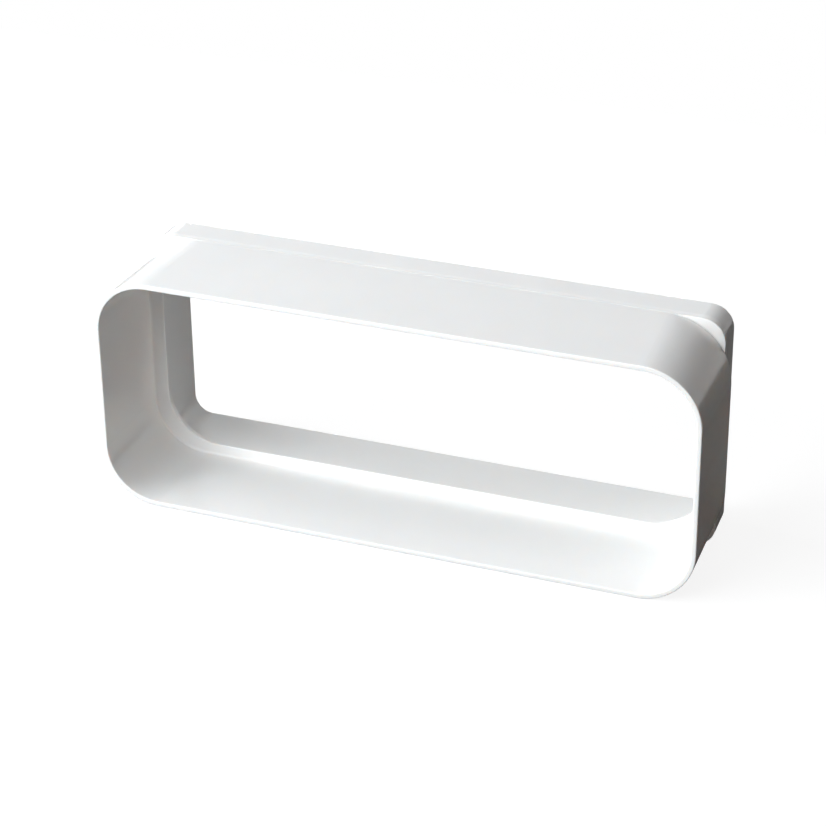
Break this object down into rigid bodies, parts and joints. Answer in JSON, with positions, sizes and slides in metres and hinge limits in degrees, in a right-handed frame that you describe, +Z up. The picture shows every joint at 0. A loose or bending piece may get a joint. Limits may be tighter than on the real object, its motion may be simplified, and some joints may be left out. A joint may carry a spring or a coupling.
{
  "type": "duct reducer",
  "caption": "Flat duct reducer: a round-cornered rectangular sleeve with a stop inside, a squarer collar and a short spigot, open right through for air.",
  "frame": {"origin": "middle of the underside, on the surface that the fitting lies on, halfway along its length", "axes": "+X along the width, +Y along the air path from the sleeve to the spigot, +Z up"},
  "size_m": [0.222, 0.0618, 0.089],
  "materials": {
    "white_plastic": "smooth satin, moulded"
  },
  "bodies": {
    "root": {"duct_reducer": "white_plastic"}
  },
  "joints": []
}
